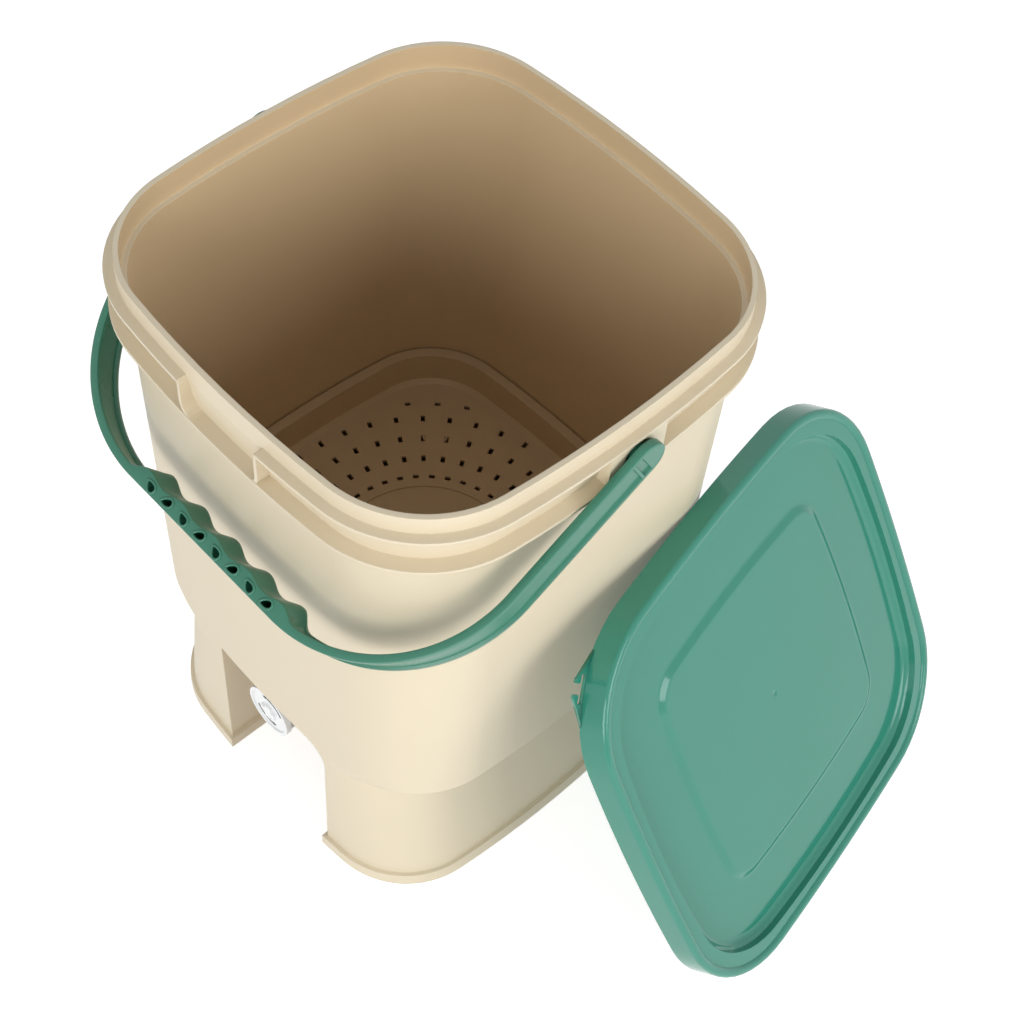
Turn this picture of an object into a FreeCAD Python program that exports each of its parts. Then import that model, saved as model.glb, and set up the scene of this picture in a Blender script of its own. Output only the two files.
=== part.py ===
import FreeCAD, Part
import math
import os

V = FreeCAD.Vector

# Kitchen wormery: a beige bin on a skirt, with a bail handle, a lid that has been taken
# off and leans on its side, a strainer tray inside and a turning tap in an alcove.
# Front is -Y, right is +X, up is +Z. The origin is the middle of the bin on the floor.

# Bin outline, seen from above
wall = 2.4
rim_wall = 3.2              # thicker wall above the ledge
corner_top = 68.9           # corner radius at the top of the rim
corner_foot = 58.8          # corner radius at the floor
side_arc = 789.0            # radius of each gently bulging side

# Bin heights
bin_height = 425.0
upper_fin_drop = 11.3       # from the rim's crest to the top face of the upper fin
lower_fin_drop = 36.1       # from the rim's crest to the top face of the lower fin
upper_fin_z = bin_height - upper_fin_drop
lower_fin_z = bin_height - lower_fin_drop
fin_thick = 2.4
ledge_drop = 17.0           # from the rim's crest to the step inside it
ledge_z = bin_height - ledge_drop
shoulder_top = 132.0        # the sides step in between these two heights
shoulder_foot = 113.0
shoulder_steps = 3
wall_bands = 4              # equal bands of the wall above the shoulder
floor_top = 76.0
plinth_height = 10.0

# Bin half widths at the middle of a side
body_half = 139.4           # just under the lower fin
neck_out = 0.9              # the neck above the lower fin stands out from the body
collar_out = 4.0            # and so do the collar just under the upper fin,
rim_out = 3.6               # the rim
fin_out = 9.8               # and both fins
neck_half = body_half + neck_out
collar_half = body_half + collar_out
rim_half = body_half + rim_out
fin_half = body_half + fin_out
shoulder_half_x = 138.0     # right and left sides, above the shoulder
shoulder_half_y = 134.7     # front and back, at the same height
skirt_half = 116.0          # right and left sides, below the shoulder
foot_half_x = 131.3         # right and left sides, at the floor
foot_half_y = 134.6         # front and back, at the floor
plinth_out = 2.5            # how far the foot's lip stands out

# Dip in the upper fin, at the front
dip_left = -28.0
dip_right = 33.0
dip_left_foot_radius = 9.0
dip_right_foot_radius = 5.0
dip_top_radius = 3.0
dip_inset = 0.4             # from the fins' edge to the edge of the dip's walls

# Alcove for the tap, in the front of the skirt
alcove_left = -42.0
alcove_right = 58.0
alcove_top = 124.0
alcove_back = 80.0          # distance of its back wall behind the middle of the bin
alcove_corner = 19.0        # round upper right corner

# Handle
handle_axis_y = 4.5
handle_axis_drop = 25.0     # below the rim's crest
handle_axis_z = bin_height - handle_axis_drop
handle_hang_angle = 29.9    # below level, when it leans on the front
handle_side_gap = 1.6       # between the fins and the arms
arm_thick = 5.0
arm_height = 24.0
arm_groove = 1.4            # depth of the long hollow in the arm's outer and inner face
arm_edge = 3.2              # solid edge above and below that hollow
arm_groove_start = 16.0     # in front of the hinge
arm_web_place = 24.0        # small cross web in the hollow, in front of the hinge
arm_web = 1.6
bail_corner = 95.0          # outer radius of the bail's corners
grip_left = -62.0
grip_right = 70.0
grip_top_width = 16.0
grip_foot_width = 18.5
grip_run_out = 12.0         # slope from the grip into the strap at each end
finger_scoops = 5           # cut into the grip's inner side, deepest at the top
scoop_radius = 11.5
scoop_depth = 6.4
grip_holes = 8
grip_hole_pitch = 14.2
grip_hole_inset = 5.6       # from the outer edge to the middle of a hole
grip_hole_length = 7.6
grip_hole_width = 4.4
grip_hole_slant = 24.0
grip_hole_depth = 20.0
rest_gap = 0.5
pin_radius = 6.0
pin_clear = 0.08
seat_gap = 0.4
boss_half = 20.0            # half length of the block between the fins
boss_inset = 0.8            # from the fins' edge to the face of that block
boss_wall = 1.4             # left between the blind bore and the bin's inside
boss_pocket = 10.0
boss_pocket_depth = 4.0

# Strainer tray
strainer_floor_z = 141.0
strainer_rim_z = 165.0
strainer_thick = 2.0
strainer_clear = 1.0
strainer_flange = 7.0
strainer_draft = 2.0
strainer_cove = 3.0         # rounded change from its side wall to its floor
strainer_dish_radius = 60.0
strainer_dish_depth = 1.0
strainer_feet = 74.0        # distance of each foot from the middle, along X and along Y
foot_radius = 9.0
slots_per_ring = 40
slot_rings = (83.0, 100.0, 117.0)
slot_length = 5.0
slot_width = 2.9
oval_rings = (68.0, 130.0)
oval_length = 3.8
oval_width = 2.8
slot_margin = 4.5

# Lid
lid_overhang = 9.5          # how far its edge stands out beyond the bin's rim
lid_half = rim_half + lid_overhang
lid_corner = 75.0
lid_arc = 1500.0            # radius of each of its gently bulging sides
lid_depth = 18.0
lid_wall = 2.0
lid_draft = 1.4
lid_bead_round = 2.4
lid_plug_clear = 1.2        # between the plug under the lid and the bin's mouth
lid_plug_depth = 15.0
lid_plug_draft = 1.0
lid_panel_depth = 10.0
lid_recess_slope = 2.0      # how much the recess narrows towards its panel
lid_step_half = 90.0        # raised middle of the panel
lid_step_corner = 20.0
lid_step_arc = 800.0
lid_step_rise = 1.4
lid_step_slope = 4.0
lid_dimple_radius = 2.2     # gate mark in the middle
lid_dimple_depth = 0.5
lid_tab_reach = 8.0         # beyond the crest of the lid's round corner
lid_tab_half = 34.0
lid_tab_root = 12.0
lid_tab_tip = 5.5
lid_tab_thick = 2.0
lid_slot_stem = 6.6
lid_slot_bar = 17.0
lid_slot_depth = 3.8        # of the stem, and of the bar behind it
lid_lean = 29.1             # how far its face is turned up from upright
lid_turn = 11.9             # how far it is turned from square to the bin
lid_along_y = 103.1
lid_gap = 0.5
lid_floor_gap = 0.02

# Tap
tap_z = 96.0
tap_face = 131.0            # front of the knob, in front of the middle of the bin
knob_radius = 18.8
knob_disc = 4.0
knob_grip_radius = 16.6
knob_grip_length = 11.0
knob_ribs = 24
rib_height = 1.0
knob_ring_width = 2.2
knob_ring_rise = 1.0
knob_cross_length = 13.0
knob_cross_width = 5.0
knob_cross_rise = 1.8
knob_turn_gap = 0.5
plug_radius = 7.6
plug_clear = 0.06
plug_length = 14.0
seal_wire = 1.2
seal_back = 5.0             # from the end of the plug to the middle of the seal
barrel_radius = 12.5
tap_flange_radius = 16.5
tap_flange_thick = 3.0
stem_radius = 9.0
stem_clear = 0.3
stem_bore = 6.0
stem_length = 14.0
spout_radius = 6.5
spout_bore = 4.5
spout_back = 8.0            # from the front of the flange to the middle of the spout
spout_end_z = 74.0
washer_thick = 2.0
washer_radius = 15.5
nut_thick = 6.0
nut_flats = 27.0


def outline(half_x, half_y, corner, z, arc=side_arc):
    """Closed wire of a square whose sides are wide arcs, joined by rounded corners."""
    reach = arc - corner
    dx = arc - half_x
    dy = arc - half_y
    span = math.hypot(dx, dy)
    over = math.sqrt(reach ** 2 - span ** 2 / 4) / span
    cx = -dx / 2 + over * dy
    cy = -dy / 2 + over * dx
    turn_x = math.atan2(cy, cx + dx)
    turn_y = math.atan2(cx, cy + dy)
    right = [V(arc * math.cos(t) - dx, arc * math.sin(t), z) for t in (-turn_x, 0, turn_x)]
    back = [V(arc * math.sin(t), arc * math.cos(t) - dy, z) for t in (turn_y, 0, -turn_y)]
    out = (right[2] + back[0] - V(cx, cy, z) * 2).normalize()
    knee = V(cx, cy, z) + out * corner
    left = [V(-p.x, -p.y, z) for p in right]
    front = [V(-p.x, -p.y, z) for p in back]
    arcs = [right, [right[2], knee, back[0]], back, [back[2], V(-knee.x, knee.y, z), left[0]],
            left, [left[2], V(-knee.x, -knee.y, z), front[0]], front, [front[2], V(knee.x, -knee.y, z), right[0]]]
    return Part.Wire([Part.Arc(p, q, r).toShape() for p, q, r in arcs])


def stack(levels, arc=side_arc):
    """Solid through outlines given as (z, half_x, half_y, corner)."""
    wires = [outline(hx, hy, r, z, arc) for z, hx, hy, r in levels]
    solid = Part.makeLoft(wires, True, True)
    if solid.Volume < 0:
        solid.reverse()
    return solid


def grown(levels, by):
    return [(z, hx + by, hy + by, r + by) for z, hx, hy, r in levels]


def box(x0, x1, y0, y1, z0, z1):
    return Part.makeBox(x1 - x0, y1 - y0, z1 - z0, V(x0, y0, z0))


def rod(radius, start, direction, length):
    return Part.makeCylinder(radius, length, start, direction)


def prism(points, direction):
    """Prism on a polygon whose corners are given in order."""
    return Part.Face(Part.makePolygon(points + [points[0]])).extrude(direction)


def blend(a, b, t):
    return a + (b - a) * t


def corner_for(half):
    """Corner radius of the rim, the fins and the neck, which all run side by side."""
    return corner_top + half - rim_half


def corner_at(z):
    return blend(corner_foot, corner_for(body_half), z / lower_fin_z)


def front_half(z):
    """Half depth of the bin's outside at height z."""
    if z >= shoulder_top:
        return blend(shoulder_half_y, body_half, (z - shoulder_top) / (lower_fin_z - shoulder_top))
    return blend(foot_half_y, shoulder_half_y, z / shoulder_top)


def side_half(z):
    """Half width of the bin's outside at height z, with the shoulder."""
    if z >= shoulder_top:
        return blend(shoulder_half_x, body_half, (z - shoulder_top) / (lower_fin_z - shoulder_top))
    if z <= shoulder_foot:
        return blend(foot_half_x, skirt_half, z / shoulder_foot)
    t = (z - shoulder_foot) / (shoulder_top - shoulder_foot)
    ease = (1 - math.cos(math.pi * t)) / 2
    return blend(skirt_half, shoulder_half_x, ease)


def body_level(z):
    return (z, side_half(z), front_half(z), corner_at(z))


def body_levels(low, high):
    """Outlines of the bin's outside between two heights under the lower fin."""
    span = shoulder_top - shoulder_foot
    steps = [shoulder_foot + span * i / shoulder_steps for i in range(shoulder_steps)]
    band = (lower_fin_z - fin_thick / 3 - shoulder_top) / wall_bands
    steps += [shoulder_top + band * i for i in range(wall_bands)]
    steps.append(shoulder_foot / 2)
    heights = [low] + [z for z in sorted(steps) if low < z < high - 1] + [high]
    return [body_level(z) for z in heights]


def fin(top):
    """Solid plate of one fin."""
    level = (fin_half, fin_half, corner_for(fin_half))
    return stack([(top - fin_thick,) + level, (top,) + level])


def dip_strip(x_top, toward, foot_radius):
    """Wall of the dip: from the upper fin down to the lower one, seen from the front."""
    drop_top = upper_fin_z
    drop_foot = lower_fin_z
    half = fin_thick / 2
    x = x_top
    r1 = dip_top_radius
    r2 = foot_radius
    path = []
    for i in range(5):
        a = math.radians(90 - 22.5 * i)
        path.append((x - toward * r1 + toward * r1 * math.cos(a), drop_top - half - r1 + r1 * math.sin(a)))
    for i in range(6):
        a = math.radians(180 + 18 * i)
        path.append((x + toward * (r2 + r2 * math.cos(a)), drop_foot - half + r2 + r2 * math.sin(a)))
    left = []
    right = []
    for i, (px, pz) in enumerate(path):
        ax, az = path[max(i - 1, 0)]
        bx, bz = path[min(i + 1, len(path) - 1)]
        size = math.hypot(bx - ax, bz - az)
        nx = -(bz - az) / size * half
        nz = (bx - ax) / size * half
        left.append(V(px + nx, 0, pz + nz))
        right.append(V(px - nx, 0, pz - nz))
    return prism([p + V(0, -fin_half - 5, 0) for p in left + right[::-1]], V(0, fin_half + 5 - neck_half + 1, 0))


def upper_fin():
    """The upper fin, broken at the front by the dip that the handle drops into."""
    whole = fin(upper_fin_z)
    gap = box(dip_left, dip_right, -fin_half - 5, -neck_half + 1, upper_fin_z - 9, upper_fin_z + 5)
    strips = dip_strip(dip_left, 1, dip_left_foot_radius).fuse(dip_strip(dip_right, -1, dip_right_foot_radius))
    edge = fin_half - dip_inset
    column = stack([(lower_fin_z - 2 * fin_thick, edge, edge, corner_for(edge)),
                    (upper_fin_z + 2 * fin_thick, edge, edge, corner_for(edge))])
    return whole.cut(gap).fuse(strips.common(column))


def handle_boss(side):
    """Block between the fins that carries one end of the handle."""
    inner = body_half - wall - 1
    outer = fin_half - boss_inset
    block = box(inner, outer, handle_axis_y - boss_half, handle_axis_y + boss_half,
                lower_fin_z - fin_thick / 2, upper_fin_z - fin_thick / 2)
    if side < 0:
        block = block.mirror(V(0, 0, 0), V(1, 0, 0))
    return block


def handle_socket(side):
    """Round pocket and blind bore in the boss."""
    outer = fin_half - boss_inset
    floor = outer - boss_pocket_depth
    start = body_half - wall + boss_wall
    axis = V(1, 0, 0)
    pocket = rod(boss_pocket, V(floor, handle_axis_y, handle_axis_z), axis, boss_pocket_depth + 5)
    bore = rod(pin_radius + pin_clear, V(start, handle_axis_y, handle_axis_z), axis, outer - start)
    tool = pocket.fuse(bore)
    if side < 0:
        tool = tool.mirror(V(0, 0, 0), V(1, 0, 0))
    return tool


def alcove_pocket(left, right, low, top, round_corner):
    """Open space of the alcove, as a prism along Y with one round upper corner."""
    y0 = -front_half(alcove_top) - 20
    depth = V(0, -alcove_back - y0, 0)
    if not round_corner:
        return box(left, right, y0, -alcove_back, low, top)
    r = alcove_corner
    k = r * (1 - math.sqrt(0.5))
    a = V(left, y0, low)
    b = V(left, y0, top)
    c = V(right - r, y0, top)
    d = V(right, y0, top - r)
    e = V(right, y0, low)
    knee = V(right - k, y0, top - k)
    edges = [Part.LineSegment(a, b).toShape(), Part.LineSegment(b, c).toShape(),
             Part.Arc(c, knee, d).toShape(), Part.LineSegment(d, e).toShape(),
             Part.LineSegment(e, a).toShape()]
    return Part.Face(Part.Wire(edges)).extrude(depth)


def bin_body():
    """Bin, skirt, rim, fins, alcove and handle bosses in one moulding."""
    swell = fin_thick / 3
    wall_levels = body_levels(0.0, lower_fin_z - 2 * swell)
    wall_levels += [(lower_fin_z - swell, neck_half, neck_half, corner_for(neck_half)),
                    (upper_fin_z - fin_thick, collar_half, collar_half, corner_for(collar_half)),
                    (bin_height, rim_half, rim_half, corner_top)]
    shell = stack(wall_levels)
    plinth = stack(grown([body_level(0.0), body_level(plinth_height)], plinth_out))
    solid = shell
    for piece in (handle_boss(1), handle_boss(-1), plinth, fin(lower_fin_z), upper_fin()):
        solid = solid.fuse(piece)

    # Inside of the bin, and of the skirt below its floor
    inner_levels = body_levels(floor_top, lower_fin_z - 2 * swell)
    inner_levels += [(ledge_z + 1, body_half, body_half, corner_for(body_half))]
    inside = stack(grown(inner_levels, -wall))
    mouth = stack(grown([(ledge_z, collar_half, collar_half, corner_for(collar_half)),
                         (bin_height + 1, rim_half, rim_half, corner_top)], -rim_wall))
    under = stack(grown([body_level(-1.0), body_level(shoulder_foot / 2), body_level(floor_top - wall)], -wall))
    for space in (inside, mouth, under):
        solid = solid.cut(space)

    # Alcove walls stand in the hollow skirt and rise a little above the bin's floor
    envelope = stack(grown(body_levels(0.0, shoulder_top), -wall / 2))
    walls = box(alcove_left - wall, alcove_right + wall, -front_half(alcove_top) - 5, -alcove_back + wall,
                0, alcove_top + wall).common(envelope)
    hollow = box(alcove_left, alcove_right, -alcove_back - 1, -alcove_back + wall + 1, -1, floor_top - wall)
    walls = walls.cut(hollow)
    solid = solid.fuse(walls)
    pocket = alcove_pocket(alcove_left, alcove_right, plinth_height, alcove_top, True)
    low_pocket = alcove_pocket(alcove_left + plinth_out, alcove_right - plinth_out, -1, plinth_height + 1, False)
    solid = solid.cut(pocket)
    solid = solid.cut(low_pocket)
    return solid


def strainer():
    """Tray with a rim, steep sides, rings of slots and four feet on the bin's floor."""
    top = strainer_rim_z
    low = strainer_floor_z
    t = strainer_thick
    edge_x = side_half(top) - wall - strainer_clear
    edge_y = front_half(top) - wall - strainer_clear
    edge_r = corner_at(top) - wall - strainer_clear
    in_x = edge_x - strainer_flange
    in_y = edge_y - strainer_flange
    in_r = edge_r - strainer_flange
    c = strainer_cove
    rim = stack([(top - t, edge_x, edge_y, edge_r), (top, edge_x, edge_y, edge_r)])
    d = strainer_draft
    side = [(low, in_x - d - c, in_y - d - c, in_r - d - c), (low + c, in_x - d, in_y - d, in_r - d),
            (top, in_x, in_y, in_r)]
    cup = stack([(low - t, in_x - d - c + t, in_y - d - c + t, in_r - d - c + t)] + grown(side[1:], t))
    tray = rim.fuse(cup)
    dish = rod(strainer_dish_radius + t, V(0, 0, low - t - strainer_dish_depth), V(0, 0, 1), t)
    tray = tray.fuse(dish)
    tray = tray.cut(stack(side[:-1] + [(top + 2, in_x + 0.2, in_y + 0.2, in_r)]))
    tray = tray.cut(rod(strainer_dish_radius, V(0, 0, low - strainer_dish_depth), V(0, 0, 1), t))
    drill = V(0, 0, 1)
    tools = []
    step = 360.0 / slots_per_ring
    limit_x = in_x - d - c - slot_margin
    limit_y = in_y - d - c - slot_margin
    for ring in slot_rings + oval_rings:
        oval = ring in oval_rings
        for i in range(slots_per_ring):
            angle = 45 + step * (i if oval else i + 0.5)
            if ring == oval_rings[1] and (i + 1) % (slots_per_ring // 4) > 2:
                continue
            x = ring * math.cos(math.radians(angle))
            y = ring * math.sin(math.radians(angle))
            if abs(x) > limit_x or abs(y) > limit_y:
                continue
            along, across = (oval_width, oval_length) if oval else (slot_length, slot_width)
            tool = box(-along / 2, along / 2, -across / 2, across / 2, low - t - 2, low + 2)
            tool.rotate(V(0, 0, 0), drill, angle)
            tool.translate(V(x, y, 0))
            tools.append(tool)
    tray = tray.cut(Part.makeCompound(tools))
    post = strainer_feet
    for sx in (-1, 1):
        for sy in (-1, 1):
            start = V(sx * post, sy * post, floor_top)
            leg = rod(foot_radius, start, drill, low - t / 2 - floor_top)
            hollow = rod(foot_radius - t, start + V(0, 0, t), drill, low - t / 2 - floor_top - 2 * t)
            tray = tray.fuse(leg.cut(hollow))
    return tray


def oblong(width, length, z, height):
    """Six-sided oval hole, longer along Y."""
    a = width / 2
    b = length / 2
    k = b - a * 0.7
    pts = [V(a, -k, z), V(a, k, z), V(0, b, z), V(-a, k, z), V(-a, -k, z), V(0, -b, z)]
    return prism(pts, V(0, 0, height))


def bail_outline(half, reach, radius, z):
    """U-shaped outline of the bail, seen from above with its hinge on the X axis."""
    back = arm_height
    k = radius * math.sqrt(0.5)
    cx = half - radius
    cy = -reach + radius
    a = V(half, back, z)
    b = V(half, cy, z)
    c = V(cx, -reach, z)
    d = V(-cx, -reach, z)
    e = V(-half, cy, z)
    f = V(-half, back, z)
    edges = [Part.LineSegment(a, b).toShape(),
             Part.Arc(b, V(cx + k, cy - k, z), c).toShape(),
             Part.LineSegment(c, d).toShape(),
             Part.Arc(d, V(-cx - k, cy - k, z), e).toShape(),
             Part.LineSegment(e, f).toShape(),
             Part.LineSegment(f, a).toShape()]
    return Part.Face(Part.Wire(edges))


def grip_bar():
    """Bar of the grip, wider at its foot, with one slanting round scoop for each finger."""
    half_z = arm_height / 2
    outer = -bail_reach + arm_thick / 2
    inner = -bail_reach + arm_thick
    ends = (grip_left - grip_run_out, grip_right + grip_run_out)
    wires = []
    for z, width in ((-half_z, grip_foot_width), (half_z, grip_top_width)):
        y = -bail_reach + width
        pts = [V(grip_left, outer, z), V(grip_right, outer, z), V(ends[1], inner, z),
               V(grip_right, y, z), V(grip_left, y, z), V(ends[0], inner, z)]
        wires.append(Part.makePolygon(pts + [pts[0]]))
    bar = Part.makeLoft(wires, True, True)
    if bar.Volume < 0:
        bar.reverse()
    top = V(0, -bail_reach + grip_top_width - scoop_depth + scoop_radius, half_z)
    foot = V(0, -bail_reach + grip_foot_width + scoop_radius, -half_z)
    run = top - foot
    pitch = (grip_right - grip_left) / finger_scoops
    for i in range(finger_scoops):
        place = foot - run + V(grip_left + (i + 0.5) * pitch, 0, 0)
        bar = bar.cut(rod(scoop_radius, place, run, 3 * run.Length))
    return bar


def bail_handle():
    """Bail built level about its hinge, then turned down to lean on the bin's front."""
    half_z = arm_height / 2
    out = arm_inner + arm_thick
    whole = bail_outline(out, bail_reach, bail_corner, -half_z).extrude(V(0, 0, arm_height))
    inner = bail_outline(out - arm_thick, bail_reach - arm_thick, bail_corner - arm_thick, -half_z - 1)
    strap = whole.cut(inner.extrude(V(0, 0, arm_height + 2)))

    # Rounded arm ends about the hinge
    side = box(-out - 1, out + 1, 0, arm_height + 1, -half_z - 1, half_z + 1)
    strap = strap.cut(side.cut(rod(half_z, V(-out - 2, 0, 0), V(1, 0, 0), 2 * out + 4)))

    # Long hollows in the outer and in the inner face, with a small cross web
    low = -half_z + arm_edge
    tall = arm_height - 2 * arm_edge
    g = arm_groove
    keep = bail_outline(out - g, bail_reach - g, bail_corner - g, low).extrude(V(0, 0, tall))
    outer = bail_outline(out + 1, bail_reach + 1, bail_corner + 1, low).extrude(V(0, 0, tall)).cut(keep)
    t = arm_thick - g
    reach_in = bail_outline(out - t, bail_reach - t, bail_corner - t, low).extrude(V(0, 0, tall))
    stop = box(-out - 2, out + 2, -arm_groove_start, arm_height + 1, -half_z, half_z)
    web = box(-out - 2, out + 2, -arm_web_place - arm_web, -arm_web_place, -half_z, half_z)
    middle = box(grip_left - grip_run_out, grip_right + grip_run_out, -bail_reach - 2, -bail_reach + 20, -half_z, half_z)
    strap = strap.cut(outer.cut(stop.fuse(web)))
    strap = strap.cut(reach_in.cut(stop.fuse(middle)))

    # Grip with finger scoops and a row of slanting holes
    strap = strap.fuse(grip_bar())
    first = (grip_left + grip_right) / 2 - grip_hole_pitch * (grip_holes - 1) / 2
    for i in range(grip_holes):
        slant = grip_hole_slant if i % 2 else -grip_hole_slant
        hole = oblong(grip_hole_width, grip_hole_length, half_z - grip_hole_depth, grip_hole_depth + 1)
        hole.rotate(V(0, 0, 0), V(0, 0, 1), slant)
        hole.translate(V(first + i * grip_hole_pitch, -bail_reach + grip_hole_inset, 0))
        strap = strap.cut(hole)

    # Pins that turn in the bosses
    tip = body_half - wall + boss_wall + seat_gap
    pin = rod(pin_radius, V(tip, 0, 0), V(1, 0, 0), arm_inner + 1 - tip)
    pin = pin.makeChamfer(0.8, [pin.Edges[i] for i in range(len(pin.Edges)) if pin.Edges[i].BoundBox.XMax < tip + 0.1])
    strap = strap.fuse([pin, pin.mirror(V(0, 0, 0), V(1, 0, 0))])
    strap.rotate(V(0, 0, 0), V(1, 0, 0), handle_hang_angle)
    strap.translate(V(0, handle_axis_y, handle_axis_z))
    return strap


def hang_reach():
    """How far the bail reaches from its hinge when the grip just clears the front."""
    turn = math.radians(handle_hang_angle)
    low = arm_height / 2
    inner = (body_half + handle_axis_y + rest_gap + low * math.sin(turn)) / math.cos(turn)
    for _ in range(20):
        z = handle_axis_z - inner * math.sin(turn) - low * math.cos(turn)
        inner = (front_half(z) + handle_axis_y + rest_gap + low * math.sin(turn)) / math.cos(turn)
    return inner + grip_foot_width


arm_inner = fin_half + handle_side_gap
bail_reach = hang_reach()


def lid_level(z, inset):
    """Outline of the lid at one level, drawn in from its skirt's foot."""
    return (z, lid_half - inset, lid_half - inset, lid_corner - inset)


def plug_level(z, inset):
    """Outline at one level of what goes into the bin's mouth."""
    half = rim_half - rim_wall - lid_plug_clear - inset
    return (z, half, half, corner_for(half))


def lid_flat():
    """Lid lying flat, with the top of its rim at the origin."""
    w = lid_wall
    r = lid_bead_round
    outer = stack([lid_level(-lid_depth, 0), lid_level(-r, lid_draft), lid_level(-0.3 * r, lid_draft + 0.3 * r),
                   lid_level(0, lid_draft + r)], lid_arc)
    cup = stack([lid_level(-lid_depth - 1, w), lid_level(-w, lid_draft + w)], lid_arc)
    shell = outer.cut(cup)
    foot = -lid_plug_depth
    shell = shell.fuse(stack([plug_level(foot, lid_plug_draft), plug_level(-w / 2, 0)]))

    # Recess above the panel, and the hollow plug below it
    d = lid_panel_depth
    recess = stack([plug_level(-d, w + lid_recess_slope), plug_level(0.05, w - lid_bead_round)])
    under = stack([plug_level(foot - 1, w + lid_plug_draft), plug_level(-d - w, w + lid_plug_draft)])
    shell = shell.cut(recess).cut(under)
    s = lid_step_half
    sc = lid_step_corner
    wide = s + lid_step_slope
    for shift, join in ((0.0, True), (-w, False)):
        rise = stack([(-d + shift - w / 10, wide, wide, sc + lid_step_slope),
                      (-d + shift + lid_step_rise, s, s, sc)], lid_step_arc)
        shell = shell.fuse(rise) if join else shell.cut(rise)
    top = -d + lid_step_rise
    dimple = rod(lid_dimple_radius, V(0, 0, top - lid_dimple_depth), V(0, 0, 1), 1)
    return shell.cut(dimple).fuse(lid_tab())


def corner_reach(half, corner, arc):
    """Distance from the middle of a square outline to the crest of its rounded corner."""
    side = (arc - half) * math.sqrt(0.5)
    return math.sqrt((arc - corner) ** 2 - side ** 2) - side + corner


def lid_tab():
    """Pull tab with a T-shaped slot, at one corner of the skirt."""
    crest = corner_reach(lid_half, lid_corner, lid_arc)
    tip = crest + lid_tab_reach
    z = -lid_depth
    root = crest - lid_tab_root
    half = lid_tab_half
    plate = prism([V(root, -half, z), V(tip, -lid_tab_tip, z), V(tip, lid_tab_tip, z), V(root, half, z)],
                  V(0, 0, lid_tab_thick))
    d = lid_slot_depth
    stem = box(tip - d, tip + 1, -lid_slot_stem / 2, lid_slot_stem / 2, z - 1, z + lid_tab_thick + 1)
    bar = box(tip - 2 * d, tip - d, -lid_slot_bar / 2, lid_slot_bar / 2, z - 1, z + lid_tab_thick + 1)
    plate = plate.cut(stem.fuse(bar))
    plate.rotate(V(0, 0, 0), V(0, 0, 1), 135)
    return plate.cut(stack([lid_level(z - 1, lid_wall / 2), lid_level(0, lid_wall / 2)], lid_arc))


def lid_axes():
    lean = math.radians(lid_lean)
    turn = math.radians(lid_turn)
    normal = V(math.cos(lean) * math.cos(turn), math.cos(lean) * math.sin(turn), math.sin(lean))
    across = V(-math.sin(turn), math.cos(turn), 0)
    return across, normal.cross(across), normal


def place_lid(shape, centre):
    a, b, n = lid_axes()
    m = FreeCAD.Matrix(a.x, b.x, n.x, centre.x, a.y, b.y, n.y, centre.y, a.z, b.z, n.z, centre.z, 0, 0, 0, 1)
    placed = shape.copy()
    placed.transformShape(m)
    return placed


def lid():
    """Lid standing on the floor and leaning with a small gap on the bin's right side."""
    slab = stack([lid_level(-lid_depth, 0), lid_level(-lid_depth / 2, 0)], lid_arc)
    low = place_lid(slab, V(0, lid_along_y, 0))
    base = min(p.z for p in low.tessellate(0.02)[0])
    height = lid_floor_gap - base
    bin_side = stack(body_levels(0.0, lower_fin_z))
    reach = fin_half + lid_half
    for _ in range(12):
        trial = place_lid(slab, V(reach, lid_along_y, height))
        reach -= (trial.distToShape(bin_side)[0] - lid_gap) * 0.98
    return place_lid(lid_flat(), V(reach, lid_along_y, height))


def along_y(shape):
    """Turns a shape built along +Z so that its far end points to -Y at the tap's height."""
    turned = shape.copy()
    turned.rotate(V(0, 0, 0), V(1, 0, 0), 90)
    turned.translate(V(0, 0, tap_z))
    return turned


def tap_round(outer, inner, start, thick):
    """Ring about the tap's axis from one distance in front of the bin's middle."""
    ring = rod(outer, V(0, 0, start), V(0, 0, 1), thick)
    return ring.cut(rod(inner, V(0, 0, start - 1), V(0, 0, 1), thick + 2))


gasket_back = alcove_back
flange_back = gasket_back + washer_thick
flange_front = flange_back + tap_flange_thick
knob_back = tap_face - knob_disc - knob_grip_length
barrel_front = knob_back + 4.0
wall_inner = alcove_back - wall
washer_back = wall_inner - washer_thick
nut_back = washer_back - nut_thick


def tap_body():
    """Tap body: stem through the bin wall, flange, barrel and spout."""
    up = V(0, 0, 1)
    stem = rod(stem_radius, V(0, 0, flange_back - stem_length), up, stem_length + 1)
    flange = rod(tap_flange_radius, V(0, 0, flange_back), up, tap_flange_thick)
    barrel = rod(barrel_radius, V(0, 0, flange_back + 0.5), up, barrel_front - flange_back - 0.5)
    seat = plug_radius + plug_clear
    seat_floor = barrel_front - plug_length
    bore = rod(seat, V(0, 0, seat_floor), up, plug_length + 5)
    throat = rod(stem_bore, V(0, 0, flange_back - stem_length - 1), up, seat_floor - flange_back + stem_length + 2)
    body = along_y(stem.fuse([flange, barrel]))
    place = V(0, -flange_front - spout_back, spout_end_z)
    spout = rod(spout_radius, place, up, tap_z - spout_end_z)
    body = body.fuse(spout)
    drain = rod(spout_bore, place - V(0, 0, 1), up, tap_z - spout_end_z)
    return body.cut(along_y(bore.fuse(throat))).cut(drain)


def tap_gasket():
    return along_y(tap_round(washer_radius, stem_radius + 0.3, gasket_back, washer_thick))


def tap_inner_washer():
    return along_y(tap_round(washer_radius, stem_radius + 0.3, washer_back, washer_thick))


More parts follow.
